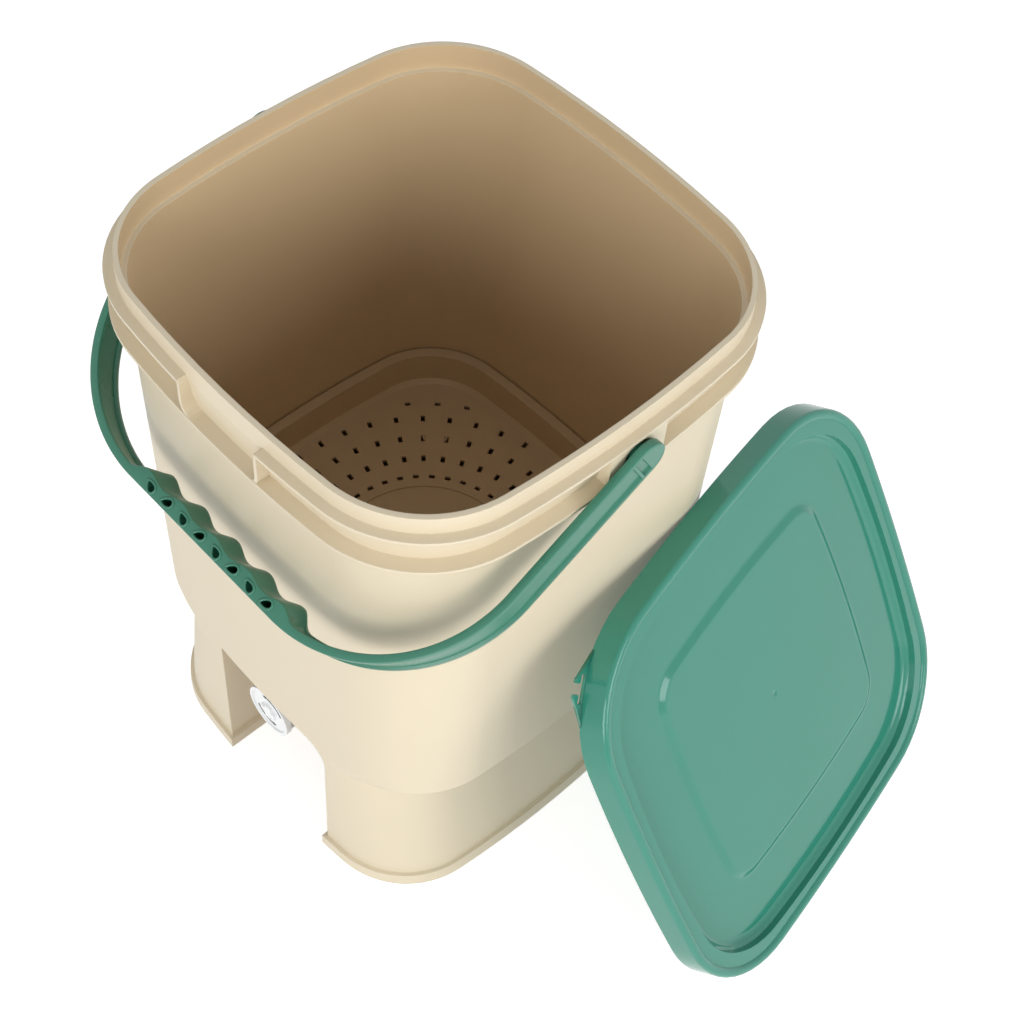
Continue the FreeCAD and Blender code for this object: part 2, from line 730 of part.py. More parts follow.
def tap_nut():
    r = nut_flats / math.sqrt(3)
    pts = [V(r * math.cos(math.radians(60 * i)), r * math.sin(math.radians(60 * i)), nut_back) for i in range(6)]
    nut = prism(pts, V(0, 0, nut_thick))
    return along_y(nut.cut(rod(stem_radius + 0.02, V(0, 0, nut_back - 1), V(0, 0, 1), nut_thick + 2)))


def plug_tip():
    return barrel_front - plug_length + seat_gap


def seal_place():
    return plug_tip() + seal_back


def knob_grip():
    """Ribbed skirt of the knob, as a prism with one point per rib and one per groove."""
    count = 2 * knob_ribs
    pts = []
    for i in range(count):
        a = 2 * math.pi * i / count
        r = knob_grip_radius + (rib_height if i % 2 else 0)
        pts.append(V(r * math.cos(a), r * math.sin(a), knob_back))
    return prism(pts, V(0, 0, tap_face - knob_disc - knob_back + 1))


def tap_knob():
    """Round turning knob with a ribbed grip, a raised cross and the plug in the barrel."""
    up = V(0, 0, 1)
    disc_back = tap_face - knob_disc
    disc = rod(knob_radius, V(0, 0, disc_back), up, knob_disc)
    room = barrel_radius + knob_turn_gap
    hollow = rod(room, V(0, 0, knob_back - 1), up, barrel_front + knob_turn_gap - knob_back + 1)
    knob = disc.fuse(knob_grip()).cut(hollow)
    plug = rod(plug_radius, V(0, 0, plug_tip()), up, disc_back + 1 - plug_tip())
    knob = knob.fuse(plug).cut(tap_seal(0.05))
    face = tap_face
    dish = rod(knob_radius - knob_ring_width, V(0, 0, face - knob_ring_rise), up, knob_ring_rise + 1)
    knob = knob.cut(dish)
    length = knob_cross_length
    width = knob_cross_width
    rise = face - knob_ring_rise + knob_cross_rise
    for a, b in ((length, width), (width, length)):
        arm = box(-a / 2, a / 2, -b / 2, b / 2, face - knob_ring_rise - 0.5, rise)
        knob = knob.fuse(arm)
    return along_y(knob)


def tap_seal(room):
    """Flat-sided sealing ring on the plug; with room it is the groove for that ring."""
    thick = 2 * seal_wire + 2 * room
    return tap_round(plug_radius + (1 if room else 0), plug_radius - seal_wire - room,
                     seal_place() - thick / 2, thick)


def tap_o_ring():
    return along_y(tap_seal(0))


def main():
    os.makedirs("parts", exist_ok=True)
    body = bin_body()
    bore = rod(stem_radius + stem_clear, V(0, -alcove_back - 5, tap_z), V(0, 1, 0), 15)
    body = body.cut(bore).cut(handle_socket(1)).cut(handle_socket(-1))
    nodes = {
        "bin_body": body,
        "strainer": strainer(),
        "bail_handle": bail_handle(),
        "lid": lid(),
        "tap_body": tap_body(),
        "tap_gasket": tap_gasket(),
        "tap_inner_washer": tap_inner_washer(),
        "tap_nut": tap_nut(),
        "tap_knob": tap_knob(),
        "tap_o_ring": tap_o_ring(),
    }
    for name, shape in nodes.items():
        shape = shape.removeSplitter()
        shape.exportStep("parts/" + name + ".step")
        print(name, shape.isValid(), len(shape.Solids), round(shape.Volume))


main()
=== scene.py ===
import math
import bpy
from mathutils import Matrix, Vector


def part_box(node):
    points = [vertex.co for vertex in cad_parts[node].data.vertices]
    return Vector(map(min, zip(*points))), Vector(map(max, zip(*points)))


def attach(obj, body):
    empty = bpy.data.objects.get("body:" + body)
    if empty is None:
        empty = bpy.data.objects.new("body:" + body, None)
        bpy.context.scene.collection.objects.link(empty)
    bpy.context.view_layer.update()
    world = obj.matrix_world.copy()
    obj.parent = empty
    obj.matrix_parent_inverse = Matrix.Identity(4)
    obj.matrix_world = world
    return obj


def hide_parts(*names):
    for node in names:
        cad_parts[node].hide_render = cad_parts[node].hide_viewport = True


bl_info = {
    "name": "Kitchen Wormery",
    "version": (1, 1, 0),
    "blender": (4, 5, 0),
    "location": "3D View > Sidebar > Wormery",
    "description": "Dresses a beige bin with its bail handle, leaning lid, strainer and drain tap",
    "category": "Object",
}

import bmesh
import bpy
from bpy.props import FloatProperty, FloatVectorProperty, IntProperty, PointerProperty
from mathutils import Matrix, Vector

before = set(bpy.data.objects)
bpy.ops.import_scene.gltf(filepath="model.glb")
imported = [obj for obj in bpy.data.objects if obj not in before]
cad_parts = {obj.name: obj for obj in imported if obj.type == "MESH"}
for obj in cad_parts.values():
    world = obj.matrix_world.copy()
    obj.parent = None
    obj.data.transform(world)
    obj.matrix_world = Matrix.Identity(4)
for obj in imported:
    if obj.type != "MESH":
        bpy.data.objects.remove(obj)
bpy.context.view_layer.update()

# Places that the pieces share, taken from the frame
KNOB_LOW, KNOB_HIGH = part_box("tap_knob")
KNOB_MIDDLE = (KNOB_LOW + KNOB_HIGH) / 2
LID_LOW, LID_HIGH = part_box("lid")
BAIL_LOW, BAIL_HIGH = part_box("bail_handle")

# Moulded plastic: scale of its mottle and grain, how far its gloss varies, how far light goes
# into the clearer green, and the radius that the tap's edges shine with
MOTTLE_SCALE = 14.0
GLOSS_SPREAD = 0.12
GRAIN_SCALE = 900.0
GRAIN_HEIGHT = 0.0002
GLOW_RADIUS = (0.6, 1.0, 0.8)
GLOW_DEPTH = 0.004
PLASTIC_IOR = 1.49
TAP_EDGE = 0.0004

# Outward share of a face's normal at which the painted shade on the bin's inner faces starts, and is
# full
INSIDE_SHADE_START = -0.1
INSIDE_SHADE_FULL = -0.6

# Angle between two faces, in degrees, from which their edge stays sharp
SHARP = 35
BAIL_SHARP = 40
TAB_SHARP = 20

# Fewest faces that a cut piece keeps
FEWEST_FACES = 12

# Knob: how far its cross stands out from its dish, and the arrows printed in the dish: thickness,
# first angle, share of the sweep before the head, and half width of the head in band widths
CROSS_RISE = 0.0018
ARROW_THICK = 0.0002
ARROW_START = math.radians(25)
ARROW_BAND = 0.84
ARROW_BARB = 1.3
ARROW_PARTS = 18

# Lid, in metres: half width, corner radius and side radius of its skirt, plug and raised middle
LID_HALF = 0.1525
LID_CORNER = 0.075
LID_ARC = 1.5
PLUG_HALF = 0.1386
PLUG_CORNER = 0.0645
PLUG_ARC = 0.789
STEP_HALF = 0.090
STEP_CORNER = 0.020
STEP_ARC = 0.8

# Lid: depths below the top of its rim, rise of its middle, its wall, and how far its sides draw in
LID_DEPTH = 0.018
PLUG_DEPTH = 0.015
PANEL_DEPTH = 0.010
STEP_RISE = 0.0020
LID_WALL = 0.002
LID_DRAFT = 0.0014
PLUG_DRAFT = 0.001
RECESS_SLOPE = 0.002
STEP_SLOPE = 0.004

# Lid: radius and inset of its bead's crest, fillet and small roundings, and the dimple in its middle
BEAD = 0.0030
CREST = 0.0052
FILLET = 0.0050
FOOT_ROUND = 0.0005
SOFT_RUN = 0.0003
SOFT_RISE = 0.0002
DIMPLE = 0.0022
DIMPLE_DEPTH = 0.0005
DIMPLE_FLOOR = 0.6

# Lid: flat strips that keep soft shading close to its edges: beside the dimple, as shares of its
# radius, then inside and outside the step and beside the fillet, as distances
DIMPLE_STRIPS = (1.4, 2)
INNER_STRIPS = (0.006, 0.002)
OUTER_STRIPS = (0.003, 0.006)
FOOT_STRIPS = (0.005, 0.001)

# Lid: first and last angle, in degrees, and number of rings in each of its rounded stretches
FILLET_TURN = (0, 63, 8)
BEAD_INNER_TURN = (12, 90, 8)
BEAD_OUTER_TURN = (0, 90, 7)

# Lid: how far its face looks up, and how far it turns from +X towards +Y
LID_LEAN = math.radians(29.1)
LID_TURN = math.radians(11.9)

# Pull tab with its T-shaped slot, and the hair's breadth that keeps its planes off the skirt's
TAB_SPIN = math.radians(135)
TAB_REACH = 0.008
TAB_HALF = 0.034
TAB_ROOT = 0.012
TAB_TIP = 0.0055
SLOT_STEM = 0.0066
SLOT_BAR = 0.017
SLOT_DEPTH = 0.0038
HAIR = 0.00002

# Bail, in metres, built level about its hinge and then turned down: its hinge, how far it hangs,
# and the radius and number of parts of its bends
HINGE = Vector((0.0, 0.0045, 0.400))
HANG = math.radians(29.9)
BAIL_CORNER = 0.095
BEND_PARTS = 200

# Strap of the bail: its section, its grooves, the cross web in its arms, and how an arm is divided
STRAP = 0.005
STRAP_HEIGHT = 0.024
STRAP_EDGE = 0.0032
STRAP_ROUND = 0.0009
GROOVE = 0.0014
GROOVE_SLOPE = 0.0006
GROOVE_START = 0.0005
GROOVE_END = 0.0004
WEB_PLACE = 0.006
WEB = 0.0016
INNER_START = 0.016
ARM_LEAD = 0.006
ARM_PARTS = 8
ARM_END_TURN = (88, 8, 11)

# Where a section of the strap is low: the share of its half height that its edge keeps and its
# rounding takes at most, and the share of the edge that the groove's slope takes at most
EDGE_SHARE = 0.3
SLOPE_SHARE = 0.2

# Where the middle of a rounding lies, as a share of its radius from the corner
ROUND_MIDDLE = 0.3

# Grip of the bail: middle, half length and run-out, and its widths at the top and at the foot,
# each with a wave for each finger
GRIP_MIDDLE = 0.004
GRIP_HALF = 0.059
GRIP_RUN_OUT = 0.013
GRIP_TOP = 0.0090
TOP_WAVE = 0.0013
GRIP_FOOT = 0.0112
FOOT_WAVE = 0.0022

# Slanting oval holes in the grip, how far their cutters stand out, and the sides of their beads
HOLES = 8
HOLE_PITCH = 0.0142
HOLE_INSET = 0.0043
HOLE_LENGTH = 0.0082
HOLE_WIDTH = 0.0050
HOLE_FULLNESS = 0.35
HOLE_SLANT = math.radians(24)
HOLE_DEPTH = 0.020
HOLE_SIDES = 28
CUT_OVER = 0.001
BEAD_SIDES = 8

# Pivot pins of the bail: radius, place and chamfer of the tip, and how deep they run into the arm
PIN_RADIUS = 0.006
PIN_END = 0.1388
PIN_CHAMFER = 0.0008
PIN_HOLD = 0.001
PIN_SIDES = 32

# Studio: light from its walls and ceiling, the heights where one gives way to the other, and
# its floor, with the glow that only the camera, reflections and clear surfaces see
WALL_LIGHT = 0.86
CEILING_LIGHT = 0.30
WALL_TOP = 0.15
CEILING_START = 0.95
FLOOR_GREY = 0.80
FLOOR_LIFT = 0.62
FLOOR_HALF = 6.0
FLOOR_DROP = 0.0005

# Softboxes: what they look at, how far away and how wide they are, and each one's name,
# azimuth and height in degrees, and power in watts
LAMP_AIM = Vector((0.05, 0.0, 0.2))
LAMP_DISTANCE = 2.2
LAMP_SIZE = 1.2
LAMPS = (("front_softbox", 25, 22, 21), ("right_softbox", 100, 24, 18))

# Camera as in the photograph: where it looks, from where, and its lens
CAMERA_AIM = Vector((0.04789, 0.02543, 0.22319))
CAMERA_AZIMUTH = math.radians(42.39)
CAMERA_HEIGHT = math.radians(54.27)
CAMERA_ROLL = math.radians(5.91)
CAMERA_DISTANCE = 1.1356
CAMERA_LENS = 65.9
CAMERA_SENSOR = 36.0


def colour_property(name, description, value):
    """A colour setting, written as linear red, green and blue."""
    return FloatVectorProperty(name=name, description=description, subtype="COLOR", size=3,
                               min=0.0, max=1.0, default=value)


def length_property(name, description, value, low, high):
    """A length setting in metres."""
    return FloatProperty(name=name, description=description, default=value, min=low, max=high,
                         unit="LENGTH")


class WormeryColours(bpy.types.PropertyGroup):
    """Colours of the mouldings."""

    bin: colour_property("Bin", "Beige plastic of the bin", (0.70, 0.61, 0.45))
    # The inside colour is painted shade: the bin's inner faces are darkened to stand for the shade
    # inside it
    inside: colour_property("Bin inside", "Deeper tone of the bin's inner faces",
                            (0.62, 0.47, 0.285))
    # The strainer's colour is the bin's beige darkened as painted shade, for the shade deep inside
    # the bin
    tray: colour_property("Strainer", "Beige plastic of the strainer tray", (0.56, 0.42, 0.26))
    handle: colour_property("Handle", "Green plastic of the bail", (0.040, 0.195, 0.130))
    lid: colour_property("Lid", "Clearer green plastic of the lid", (0.035, 0.245, 0.175))
    tap: colour_property("Tap", "White plastic of the tap", (0.86, 0.87, 0.88))
    rubber: colour_property("Seals", "Black rubber of the seals", (0.02, 0.02, 0.02))
    mark: colour_property("Arrows", "Dark print of the arrows on the knob", (0.03, 0.03, 0.035))


class WormerySizes(bpy.types.PropertyGroup):
    """Sizes of the small pieces that are dressed in here."""

    edge_round: length_property("Edge rounding", "Radius that the mouldings' edges shine with",
                                0.0009, 0.0, 0.003)
    arrow_ring: length_property("Arrow ring", "Radius of the ring that the arrows lie on",
                                0.0125, 0.005, 0.02)
    arrow_width: length_property("Arrow width", "Width of an arrow's band",
                                 0.0011, 0.0003, 0.005)
    arrow_sweep: FloatProperty(name="Arrow sweep",
                               description="How far each arrow goes round the knob",
                               default=math.radians(95), min=0.5, max=2.8, subtype="ANGLE")
    arrow_count: IntProperty(name="Arrows", description="How many arrows lie round the knob",
                             default=2, min=1, max=4)
    hole_lip: length_property("Hole lip", "Radius of the raised lip round each hole in the grip",
                              0.0008, 0.0002, 0.002)


def new_material(name):
    """An empty material with its node tree and its main shader."""
    material = bpy.data.materials.new(name)
    material.use_nodes = True
    tree = material.node_tree
    return material, tree, tree.nodes["Principled BSDF"]


def moulded_plastic(name, colour, roughness, grain, mottle=0.03, glow=0.0, edge=0.0):
    """Moulded plastic: a faint mottle in its colour, uneven gloss, a fine grain and soft edges."""
    material, tree, shader = new_material(name)
    nodes, links = tree.nodes, tree.links
    place = nodes.new("ShaderNodeTexCoord")
    cloud = nodes.new("ShaderNodeTexNoise")
    cloud.inputs["Scale"].default_value = MOTTLE_SCALE
    cloud.inputs["Detail"].default_value = 3.0
    links.new(place.outputs["Object"], cloud.inputs["Vector"])

    tint = nodes.new("ShaderNodeMix")
    tint.data_type = "RGBA"
    tint.inputs["A"].default_value = [c * (1 - mottle) for c in colour] + [1]
    tint.inputs["B"].default_value = [min(1.0, c * (1 + mottle)) for c in colour] + [1]
    links.new(cloud.outputs["Fac"], tint.inputs["Factor"])
    links.new(tint.outputs["Result"], shader.inputs["Base Color"])

    gloss = nodes.new("ShaderNodeMapRange")
    gloss.inputs["To Min"].default_value = roughness * (1 - GLOSS_SPREAD)
    gloss.inputs["To Max"].default_value = roughness * (1 + GLOSS_SPREAD)
    links.new(cloud.outputs["Fac"], gloss.inputs["Value"])
    links.new(gloss.outputs["Result"], shader.inputs["Roughness"])

    speck = nodes.new("ShaderNodeTexNoise")
    speck.inputs["Scale"].default_value = GRAIN_SCALE
    speck.inputs["Detail"].default_value = 2.0
    links.new(place.outputs["Object"], speck.inputs["Vector"])
    bump = nodes.new("ShaderNodeBump")
    bump.inputs["Strength"].default_value = grain
    bump.inputs["Distance"].default_value = GRAIN_HEIGHT
    links.new(speck.outputs["Fac"], bump.inputs["Height"])
    links.new(bump.outputs["Normal"], shader.inputs["Normal"])
    if edge:
        soft = nodes.new("ShaderNodeBevel")
        soft.samples = 6
        soft.inputs["Radius"].default_value = edge
        links.new(soft.outputs["Normal"], bump.inputs["Normal"])
    if glow:
        shader.inputs["Subsurface Weight"].default_value = glow
        shader.inputs["Subsurface Radius"].default_value = GLOW_RADIUS
        shader.inputs["Subsurface Scale"].default_value = GLOW_DEPTH
    shader.inputs["IOR"].default_value = PLASTIC_IOR
    return material


def paint_inside_shade(material, outer, inner):
    """Paints shade on the faces that look towards the bin's upright axis, as a deeper tone."""
    tree = material.node_tree
    nodes, links = tree.nodes, tree.links
    place = nodes.new("ShaderNodeTexCoord")
    flat = nodes.new("ShaderNodeVectorMath")
    flat.operation = "MULTIPLY"
    flat.inputs[1].default_value = (1, 1, 0)
    links.new(place.outputs["Object"], flat.inputs[0])
    ray = nodes.new("ShaderNodeVectorMath")
    ray.operation = "NORMALIZE"
    links.new(flat.outputs["Vector"], ray.inputs[0])
    facing = nodes.new("ShaderNodeVectorMath")
    facing.operation = "DOT_PRODUCT"
    links.new(ray.outputs["Vector"], facing.inputs[0])
    links.new(place.outputs["Normal"], facing.inputs[1])

    share = nodes.new("ShaderNodeMapRange")
    share.inputs["From Min"].default_value = INSIDE_SHADE_START
    share.inputs["From Max"].default_value = INSIDE_SHADE_FULL
    links.new(facing.outputs["Value"], share.inputs["Value"])
    # Painted shade: the inner faces take the inside colour in place of the bin's beige
    tone = nodes.new("ShaderNodeMix")
    tone.data_type = "RGBA"
    tone.inputs["A"].default_value = (1, 1, 1, 1)
    tone.inputs["B"].default_value = [i / o for i, o in zip(inner, outer)] + [1]
    links.new(share.outputs["Result"], tone.inputs["Factor"])

    blend = nodes.new("ShaderNodeMix")
    blend.data_type = "RGBA"
    blend.blend_type = "MULTIPLY"
    blend.inputs["Factor"].default_value = 1.0
    shader = nodes["Principled BSDF"]
    links.new(shader.inputs["Base Color"].links[0].from_socket, blend.inputs["A"])
    links.new(tone.outputs["Result"], blend.inputs["B"])
    links.new(blend.outputs["Result"], shader.inputs["Base Color"])


def dress(node, material):
    """Gives a CAD node its finish."""
    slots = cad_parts[node].data.materials
    slots.clear()
    slots.append(material)


def arc_angles(start, end, count):
    """Angles in radians, evenly spread from one angle in degrees to another."""
    return [math.radians(start + (end - start) * i / (count - 1)) for i in range(count)]


def full_turn(count):
    """Angles in radians of points spread evenly round a circle."""
    return [2 * math.pi * i / count for i in range(count)]


def ring(half, corner, z, arc, per_side=10, per_corner=12):
    """Points round a square whose sides are wide arcs, joined by rounded corners."""
    shift = arc - half
    span = math.hypot(shift, shift)
    over = math.sqrt((arc - corner) ** 2 - span ** 2 / 4) / span
    middle = over * shift - shift / 2
    turn = math.atan2(middle, middle + shift)
    quarter = []
    for i in range(per_side):
        t = turn * i / per_side
        quarter.append((arc * math.cos(t) - shift, arc * math.sin(t)))
    along = arc * math.sin(turn) - middle
    out = arc * math.cos(turn) - shift - middle
    start, end = math.atan2(along, out), math.atan2(out, along)
    for i in range(per_corner):
        t = start + (end - start) * i / per_corner
        quarter.append((middle + corner * math.cos(t), middle + corner * math.sin(t)))
    for i in range(per_side):
        t = turn * (1 - i / per_side)
        quarter.append((arc * math.sin(t), arc * math.cos(t) - shift))
    mirrored = [(-x, y) for x, y in reversed(quarter[1:])]
    upper = quarter + [(0.0, half)] + mirrored
    lower = [(-x, -y) for x, y in upper]
    return [Vector((x, y, z)) for x, y in upper + lower]


def disc_ring(radius, z, like):
    """A round ring with a point on the ray of each point of another ring."""
    return [Vector((p.x, p.y, 0)).normalized() * radius + Vector((0, 0, z)) for p in like]


def skin(rings):
    """Closed surface through rings, with a face across the first and the last."""
    count = len(rings[0])
    verts = [p for one in rings for p in one]
    faces = []
    for k in range(len(rings) - 1):
        near, far = k * count, (k + 1) * count
        for i in range(count):
            j = (i + 1) % count
            faces.append((near + i, near + j, far + j, far + i))
    faces.append(tuple(range(count - 1, -1, -1)))
    last = (len(rings) - 1) * count
    faces.append(tuple(last + i for i in range(count)))
    return verts, faces


def mesh_piece(name, verts, faces, material, sharp=SHARP):
    """A closed mesh with soft shading between its sharp edges."""
    mesh = bpy.data.meshes.new(name)
    mesh.from_pydata([tuple(v) for v in verts], [], faces)
    work = bmesh.new()
    work.from_mesh(mesh)
    bmesh.ops.remove_doubles(work, verts=work.verts, dist=1e-6)
    bmesh.ops.recalc_face_normals(work, faces=work.faces)
    work.to_mesh(mesh)
    work.free()
    mesh.shade_smooth()
    mesh.set_sharp_from_angle(angle=math.radians(sharp))
    mesh.materials.append(material)
    piece = bpy.data.objects.new(name, mesh)
    bpy.context.scene.collection.objects.link(piece)
    return piece


def make_plain(piece, modifier):
    """Gives a piece the mesh that its modifier makes of it, and removes the modifier."""
    bpy.context.view_layer.update()
    seen = piece.evaluated_get(bpy.context.evaluated_depsgraph_get())
    mesh = bpy.data.meshes.new_from_object(seen)
    piece.modifiers.remove(modifier)
    old = piece.data
    piece.data = mesh
    bpy.data.meshes.remove(old)


def cut_piece(piece, tool):
    """Cuts one mesh out of another and keeps the result as a plain mesh."""
    cut = piece.modifiers.new("cut", "BOOLEAN")
    cut.operation = "DIFFERENCE"
    cut.solver = "EXACT"
    cut.object = tool
    make_plain(piece, cut)
    waste = tool.data
    bpy.data.objects.remove(tool)
    bpy.data.meshes.remove(waste)
    if len(piece.data.polygons) < FEWEST_FACES:
        raise RuntimeError("the cut left nothing of " + piece.name)


class WORMERY_OT_bin(bpy.types.Operator):
    """Gives the bin its satin beige plastic, with painted shade on its inner faces"""

    bl_idname = "wormery.bin"
    bl_label = "Bin"

    def execute(self, context):
        colours = context.scene.wormery_colours
        edge = context.scene.wormery_sizes.edge_round
        plastic = moulded_plastic("bin_plastic", colours.bin, roughness=0.42, grain=0.05,
                                  edge=edge)
        # Painted shade: the faces inside the bin get the darker inside colour
        paint_inside_shade(plastic, colours.bin, colours.inside)
        dress("bin_body", plastic)
        return {"FINISHED"}


class WORMERY_OT_strainer(bpy.types.Operator):
    """Gives the strainer tray its plastic, darker than the bin's beige as painted shade"""

    bl_idname = "wormery.strainer"
    bl_label = "Strainer"

    def execute(self, context):
        colours = context.scene.wormery_colours
        edge = context.scene.wormery_sizes.edge_round
        # Painted shade: the tray's colour is darkened for the shade deep in the bin
        plastic = moulded_plastic("tray_plastic", colours.tray, roughness=0.42, grain=0.05,
                                  edge=edge)
        dress("strainer", plastic)
        return {"FINISHED"}


def bail_point(x, y, z):
    """Turns a point of the level bail down to where it hangs."""
    return Matrix.Rotation(HANG, 3, "X") @ Vector((x, y, z)) + HINGE


def bail_reach():
    """How far the bail reaches from its hinge, from the lowest edge of its node's box."""
    return (HINGE.z - BAIL_LOW.z - STRAP_HEIGHT / 2 * math.cos(HANG)) / math.sin(HANG)


def grip_share(s):
    """How much of the grip there is at a place along the bail: 0 in the strap, 1 in the grip."""
    past = abs(s - GRIP_MIDDLE) - GRIP_HALF
    t = min(1.0, max(0.0, past / GRIP_RUN_OUT))
    return (1 + math.cos(math.pi * t)) / 2


def grip_widths(s):
    """Widths at the top and at the foot, with one smooth wave for each finger."""
    wave = math.cos(2 * math.pi * (s - GRIP_MIDDLE) / (2 * HOLE_PITCH))
    share = grip_share(s)
    top = STRAP + (GRIP_TOP + TOP_WAVE * wave - STRAP) * share
    foot = STRAP + (GRIP_FOOT + FOOT_WAVE * wave - STRAP) * share
    return top, foot


def bail_section(x, y, out, tall, grooves, top, foot):
    """Twenty points round the strap: grooved outer face, round edges, and an inner face."""
    half = tall / 2
    edge = max(half - STRAP_EDGE, half * EDGE_SHARE)
    floor = edge - min(GROOVE_SLOPE, edge * SLOPE_SHARE)
    r = min(STRAP_ROUND, half * EDGE_SHARE)
    mid = r * ROUND_MIDDLE
    outer, inner = grooves

    def across(z):
        return top + (foot - top) * (half - z) / (2 * half)

    points = [(0, edge), (0, half - r), (-mid, half - mid), (-r, half),
              (-top + r, half), (-top + mid, half - mid), (-top, half - r),
              (-across(edge), edge), (-across(floor) + inner, floor),
              (-across(-floor) + inner, -floor), (-across(-edge), -edge),
              (-foot, -half + r), (-foot + mid, -half + mid), (-foot + r, -half),
              (-r, -half), (-mid, -half + mid), (0, -half + r),
              (0, -edge), (-outer, -floor), (-outer, floor)]
    return [bail_point(x + out[0] * w, y + out[1] * w, z) for w, z in points]


def arm_rings(side):
    """Sections of one arm, from its round end to the bend, each with or without its grooves."""
    end = STRAP_HEIGHT / 2
    spots = [(end * math.sin(a), 2 * end * math.cos(a), 0, 0) for a in arc_angles(*ARM_END_TURN)]
    back = WEB_PLACE + WEB
    webbed = [(-GROOVE_START, 0, 0), (-GROOVE_START - GROOVE_END, 1, 0),
              (-WEB_PLACE + GROOVE_END, 1, 0), (-WEB_PLACE, 0, 0), (-back, 0, 0),
              (-back - GROOVE_END, 1, 0), (-INNER_START, 1, 0), (-INNER_START - GROOVE_END, 1, 1)]
    first = -INNER_START - ARM_LEAD
    last = BAIL_CORNER - bail_reach()
    plain = [(first + (last - first) * i / ARM_PARTS, 1, 1) for i in range(ARM_PARTS)]
    spots += [(y, STRAP_HEIGHT, outer, inner) for y, outer, inner in webbed + plain]
    return [bail_section(side * BAIL_HIGH.x, y, (side, 0), tall, (GROOVE * outer, GROOVE * inner),
                         STRAP, STRAP)
            for y, tall, outer, inner in spots]


def bend_rings():
    """Sections of the two bends and the grip between them, from right to left."""
    half, reach = BAIL_HIGH.x, bail_reach()
    straight = half - BAIL_CORNER
    total = straight + BAIL_CORNER * math.pi / 2
    rings = []
    for i in range(BEND_PARTS + 1):
        s = total - 2 * total * i / BEND_PARTS
        past = abs(s) - straight
        if past > 0:
            a = past / BAIL_CORNER
            side = 1 if s > 0 else -1
            x = side * (straight + BAIL_CORNER * math.sin(a))
            y = -reach + BAIL_CORNER * (1 - math.cos(a))
            out = (side * math.sin(a), -math.cos(a))
        else:
            x, y, out = s, -reach, (0.0, -1.0)
        top, foot = grip_widths(s)
        grooves = (GROOVE, GROOVE * (1 - grip_share(s)))
        rings.append(bail_section(x, y, out, STRAP_HEIGHT, grooves, top, foot))
    return rings


def hole_places():
    """Middle and slant of each hole in the grip."""
    first = GRIP_MIDDLE - HOLE_PITCH * (HOLES - 1) / 2
    y = HOLE_INSET - bail_reach()
    return [(first + i * HOLE_PITCH, y, HOLE_SLANT if i % 2 else -HOLE_SLANT)
            for i in range(HOLES)]


def hole_outline(x, y, slant):
    """Oval outline of one hole, fuller at one end."""
    points = []
    for a in full_turn(HOLE_SIDES):
        along = HOLE_LENGTH / 2 * math.cos(a)
        across = HOLE_WIDTH / 2 * math.sin(a) * (1 + HOLE_FULLNESS * math.cos(a))
        points.append((x + along * math.cos(slant) - across * math.sin(slant),
                       y + along * math.sin(slant) + across * math.cos(slant)))
    return points


def hole_cutters(material):
    """One mesh with a plug for every hole, from above the grip down into it."""
    verts, faces = [], []
    levels = (STRAP_HEIGHT / 2 + CUT_OVER, STRAP_HEIGHT / 2 - HOLE_DEPTH)
    for place in hole_places():
        flat = hole_outline(*place)
        more, sides = skin([[bail_point(x, y, z) for x, y in flat] for z in levels])
        faces += [tuple(len(verts) + i for i in face) for face in sides]
        verts += more
    return mesh_piece("hole_cutters", verts, faces, material)


def rim_tree(material):
    """Geometry nodes that bend a thin round bead along the outline of each hole."""
    tree = bpy.data.node_groups.new("hole_beads", "GeometryNodeTree")
    face = tree.interface
    face.new_socket("Geometry", in_out="INPUT", socket_type="NodeSocketGeometry")
    radius = face.new_socket("Bead radius", in_out="INPUT", socket_type="NodeSocketFloat")
    face.new_socket("Geometry", in_out="OUTPUT", socket_type="NodeSocketGeometry")
    nodes, links = tree.nodes, tree.links
    start = nodes.new("NodeGroupInput")
    finish = nodes.new("NodeGroupOutput")
    curve = nodes.new("GeometryNodeMeshToCurve")
    profile = nodes.new("GeometryNodeCurvePrimitiveCircle")
    profile.inputs["Resolution"].default_value = BEAD_SIDES
    sweep = nodes.new("GeometryNodeCurveToMesh")
    real = nodes.new("GeometryNodeRealizeInstances")
    paint = nodes.new("GeometryNodeSetMaterial")
    paint.inputs["Material"].default_value = material
    links.new(start.outputs["Geometry"], curve.inputs["Mesh"])
    links.new(start.outputs["Bead radius"], profile.inputs["Radius"])
    links.new(curve.outputs["Curve"], sweep.inputs["Curve"])
    links.new(profile.outputs["Curve"], sweep.inputs["Profile Curve"])
    links.new(sweep.outputs["Mesh"], real.inputs["Geometry"])
    links.new(real.outputs["Geometry"], paint.inputs["Geometry"])
    links.new(paint.outputs["Geometry"], finish.inputs["Geometry"])
    return tree, radius.identifier


def hole_beads(material, radius):
    """One mesh with the raised bead round every hole."""
    verts, edges = [], []
    for place in hole_places():
        flat = hole_outline(*place)
        base = len(verts)
        verts += [bail_point(x, y, STRAP_HEIGHT / 2) for x, y in flat]
        edges += [(base + i, base + (i + 1) % len(flat)) for i in range(len(flat))]
    mesh = bpy.data.meshes.new("hole_outlines")
    mesh.from_pydata([tuple(v) for v in verts], edges, [])
    piece = bpy.data.objects.new("grip_beads", mesh)
    bpy.context.scene.collection.objects.link(piece)
    tree, socket = rim_tree(material)
    beads = piece.modifiers.new("beads", "NODES")
    beads.node_group = tree
    beads[socket] = radius
    make_plain(piece, beads)
    piece.data.shade_smooth()
    if len(piece.data.polygons) < BEAD_SIDES * HOLES:
        raise RuntimeError("the beads round the grip's holes came out empty")
    return piece


